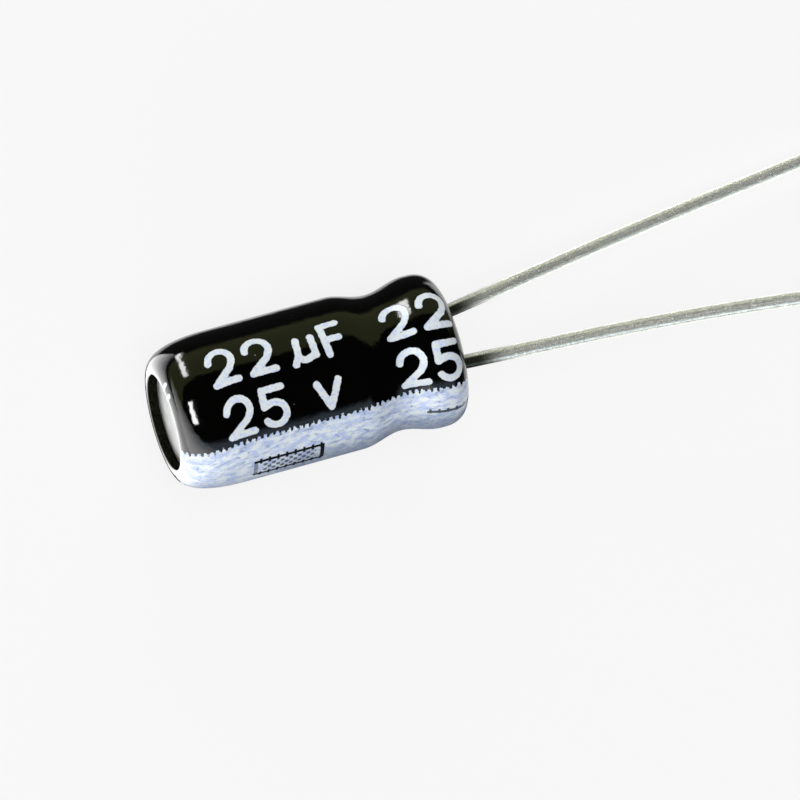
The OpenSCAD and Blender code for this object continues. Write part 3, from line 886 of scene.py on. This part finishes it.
def plain_sheet(name, light, dark, size, metallic, rough, depth):
    """Etched foil, soaked paper or tape: two tones in soft patches, with a fine grain."""
    made, tree, shader, point = new_material(name, Metallic=metallic)
    cloud = pattern(tree, CLOUDY, point, Size=size, Detail=5.0)
    tone = mix_colour(tree, cloud, (*light, 1), (*dark, 1))
    dress(tree, shader, tone, ramp(tree, cloud, 0, 1, rough, rough + 0.15), cloud, depth)
    return made


# %% Dress the CAD nodes
ALUMINIUM, RUBBER = drawn_aluminium(), seal_rubber()
PAPER = plain_sheet("soaked_paper", (0.72, 0.62, 0.42), (0.6, 0.5, 0.32), 0.08, 0.0, 0.5, 0.006)
FINISHES = {
    "can": ALUMINIUM, "anode_tab": ALUMINIUM, "cathode_tab": ALUMINIUM, "end_seal": RUBBER,
    "anode_foil": plain_sheet("etched_foil", (0.42, 0.43, 0.43), (0.3, 0.31, 0.31), 0.06, 0.8, 0.55, 0.004),
    "cathode_foil": plain_sheet("soft_foil", (0.6, 0.6, 0.58), (0.48, 0.48, 0.47), 0.1, 0.9, 0.4, 0.003),
    "inner_separator": PAPER, "outer_separator": PAPER,
    "winding_tape": plain_sheet("winding_tape", (0.6, 0.34, 0.1), (0.5, 0.27, 0.07), 0.4, 0.0, 0.2, 0.002)}
for name, finish in FINISHES.items():
    nodes[name].data.materials.clear()
    nodes[name].data.materials.append(finish)
print("finished CAD nodes:", sorted(FINISHES))

# %% [markdown]
# ## Table, light and background
#
# On a glossy black barrel nearly all that is seen is the room. So the room was read back from the photograph:
# where a point of the film faces is known from its outline, its reflection points at one direction of the
# room, and the brightness there divided by the film's small reflectance is the brightness of the room. What
# came out is a dark ceiling, an olive wall behind, a cool one in front, a bright soft wall at the head's
# side, a narrow window and a small bright panel above the head's edge. The table carries the same zones where
# it stands in their way. Light Path shows them to mirror rays alone: the camera sees a near-white table and
# backdrop, and plain soft boxes light the part, unseen in its gloss.


# %% A mask between two limits, and colours laid over each other by masks
def between(tree, value, low, high, soft):
    """1 between the limits and 0 outside, with soft edges."""
    rise, fall = ramp(tree, value, low - soft, low + soft), ramp(tree, value, high + soft, high - soft)
    return times(tree, rise, fall)


def layered(tree, ground, layers):
    """Lays colours over a ground: each layer is a colour, its level and the masks that bound it."""
    for colour, level, *masks in layers:
        bright = (*(c * level for c in colour), 1)
        ground = mix_colour(tree, times(tree, *masks), ground, bright)
    return ground


def mirror_ray(tree, light):
    """1 for the rays that glossy and clear surfaces send out."""
    return sum_node(tree, "MAXIMUM", light.outputs["Is Glossy Ray"], light.outputs["Is Transmission Ray"])


WHITE, OLIVE, COOL = (1.0, 1.0, 1.0), (0.92, 1.0, 0.48), (0.62, 0.8, 1.0)


# %% The table's zones, seen in reflections only
TABLE_GLOW, SHADOW_SHARE = 0.95, 0.12
WEDGE_TIP = 7.5


def table_zones(tree):
    """Painted reflections: bright and dark zones that the table shows to mirror rays, by place, in
    millimetres from the seat.
    """
    x, y, _ = add(tree, "ShaderNodeSeparateXYZ", {0: point_in_mm(tree)}).outputs
    # The window's patch is a wedge that opens from a point under the barrel
    wedge = sum_node(tree, "DIVIDE", plus(tree, x, WEDGE_TIP), y)
    off_axis = sum_node(tree, "ABSOLUTE", y)
    # All painted reflections, seen by mirror rays alone: a dark ground, which paints the part's shadow, then
    # the foot of the olive wall, a pale strip beside the barrel, which paints a highlight along its edge, the
    # foot of the cool wall, the ground before the seat, the foot of the head's wall and the window's patch
    return layered(tree, (0.03, 0.03, 0.03, 1), [
        (OLIVE, 0.36, ramp(tree, y, 14, 26)),
        (WHITE, 0.9, between(tree, y, 2.0, 3.9, 0.4)),
        (COOL, 0.15, ramp(tree, y, -3, -6)),
        (WHITE, 1.6, ramp(tree, x, 2.0, 3.2), ramp(tree, off_axis, 9, 7)),
        (WHITE, 3.8, ramp(tree, x, -9.75, -9.95), ramp(tree, y, 13, 3)),
        (WHITE, 12.0, between(tree, wedge, -0.25, -0.14, 0.02), ramp(tree, y, 11.5, 13.5))])


# %% Table: near white for the camera, dim for the light it throws back
def pale_table():
    made = bpy.data.materials.new("pale_table")
    made.use_nodes = True
    tree = made.node_tree
    tree.nodes.remove(tree.nodes["Principled BSDF"])
    lit = add(tree, "ShaderNodeBsdfDiffuse", {"Color": (0.85, 0.85, 0.85, 1)})
    white = add(tree, "ShaderNodeEmission", {"Color": (1, 1, 1, 1), "Strength": TABLE_GLOW})
    mirrored = add(tree, "ShaderNodeEmission", {"Color": table_zones(tree), "Strength": 1.0})
    dim = add(tree, "ShaderNodeBsdfDiffuse", {"Color": (0.6, 0.6, 0.6, 1)})
    light = add(tree, "ShaderNodeLightPath")
    seen_white = add(tree, "ShaderNodeMixShader", {
        0: 1 - SHADOW_SHARE, 1: lit.outputs[0], 2: white.outputs[0]})
    for_camera = add(tree, "ShaderNodeMixShader", {
        0: light.outputs["Is Camera Ray"], 1: dim.outputs[0], 2: seen_white.outputs[0]})
    for_all = add(tree, "ShaderNodeMixShader", {
        0: mirror_ray(tree, light), 1: for_camera.outputs[0], 2: mirrored.outputs[0]})
    tree.links.new(for_all.outputs[0], tree.nodes["Material Output"].inputs["Surface"])
    return made


TABLE_Z, TABLE_HALF = cad_low.z, 1.2
corners = [(TABLE_HALF * u, TABLE_HALF * v, TABLE_Z) for u, v in ((-1, -1), (1, -1), (1, 1), (-1, 1))]
table_mesh = bpy.data.meshes.new("table")
table_mesh.from_pydata(corners, [], [(0, 1, 2, 3)])
table = bpy.data.objects.new("table", table_mesh)
table.data.materials.append(pale_table())
bpy.context.scene.collection.objects.link(table)
print("table at", round(TABLE_Z / MM, 3), "mm")


# %% The room by direction
HEAD_WALL_AT = (-0.70, -0.40, -0.59)


def build_room(tree):
    """Masks use the height of the direction, z, and its place round the horizon, round_x and round_y."""
    direction = add(tree, "ShaderNodeTexCoord").outputs["Generated"]
    x, y, z = add(tree, "ShaderNodeSeparateXYZ", {0: direction}).outputs
    level = sum_node(tree, "SQRT", minus(tree, 1.0, times(tree, z, z)))
    round_x, round_y = (sum_node(tree, "DIVIDE", v, level) for v in (x, y))
    to_head = add(tree, "ShaderNodeVectorMath", {0: direction, 1: HEAD_WALL_AT}, operation="DOT_PRODUCT")
    to_head = to_head.outputs["Value"]
    window = plus(tree, round_x, times(tree, z, 0.3))
    panel = sum_node(tree, "DIVIDE", x, z)
    # A dark ceiling, then the olive wall, the cool wall, the head's wall, the window and the panel
    return layered(tree, (0.012, 0.012, 0.012, 1), [
        (OLIVE, 0.36, ramp(tree, round_y, 0.1, 0.5), ramp(tree, z, 0.6, 0.53)),
        (COOL, 0.9, ramp(tree, round_y, -0.1, -0.5), ramp(tree, z, 0.70, 0.54),
         ramp(tree, round_x, 0.6, 0.4)),
        (WHITE, 5.5, ramp(tree, to_head, -0.05, 0.83), ramp(tree, to_head, 0.155, 0.185)),
        (WHITE, 16.0, between(tree, window, -0.25, -0.125, 0.015), ramp(tree, y, 0.2, 0.4),
         ramp(tree, z, 0.44, 0.4)),
        (WHITE, 24.0, between(tree, panel, -0.75, -0.5, 0.02), between(tree, y, -0.27, 0.33, 0.02),
         ramp(tree, z, 0.4, 0.5))])


# %% World: white for the camera, a low even fill, and the room in reflections
FILL_LEVEL, BACKDROP_LEVEL = 0.07, 0.94
world = bpy.data.worlds.new("studio")
bpy.context.scene.world = world
world.use_nodes = True
tree = world.node_tree
fill = tree.nodes["Background"]
fill.inputs["Color"].default_value = (1, 1, 1, 1)
fill.inputs["Strength"].default_value = FILL_LEVEL
light = add(tree, "ShaderNodeLightPath")
white = add(tree, "ShaderNodeBackground", {"Color": (1, 1, 1, 1), "Strength": BACKDROP_LEVEL})
room = add(tree, "ShaderNodeBackground", {"Color": build_room(tree), "Strength": 1.0})
for_bounces = add(tree, "ShaderNodeMixShader", {
    0: mirror_ray(tree, light), 1: fill.outputs[0], 2: room.outputs[0]})
for_all = add(tree, "ShaderNodeMixShader", {
    0: light.outputs["Is Camera Ray"], 1: for_bounces.outputs[0], 2: white.outputs[0]})
tree.links.new(for_all.outputs[0], tree.nodes["World Output"].inputs["Surface"])
print("world:", len(tree.nodes), "nodes")


# %% Soft boxes
BOX_RANGE = 0.3


def soft_box(name, toward, width, tall, level):
    """A soft box in a direction from the part, with its width and height in metres and its brightness."""
    data = bpy.data.lights.new(name, "AREA")
    data.shape = "RECTANGLE"
    data.size, data.size_y = width, tall
    data.energy = level * math.pi * width * tall
    lamp = bpy.data.objects.new(name, data)
    direction = Vector(toward).normalized()
    turn = direction.to_track_quat("Z", "Y").to_matrix().to_4x4()
    lamp.matrix_world = Matrix.Translation(direction * BOX_RANGE) @ turn
    lamp.visible_camera = lamp.visible_glossy = False
    bpy.context.scene.collection.objects.link(lamp)
    print(name, "power", round(data.energy, 4), "W")


soft_box("top_box", (-0.1, -0.08, 1.0), 0.2, 0.2, 4.3)
soft_box("head_box", (-0.96, 0.0, 0.28), 0.3, 0.16, 3.9)
soft_box("side_box", (-0.4, -1.0, 0.2), 0.3, 0.2, 2.8)
soft_box("back_box", (0.1, 1.0, 0.3), 0.3, 0.2, 3.1)

# %% Standard view
bpy.context.scene.view_settings.view_transform = "Standard"
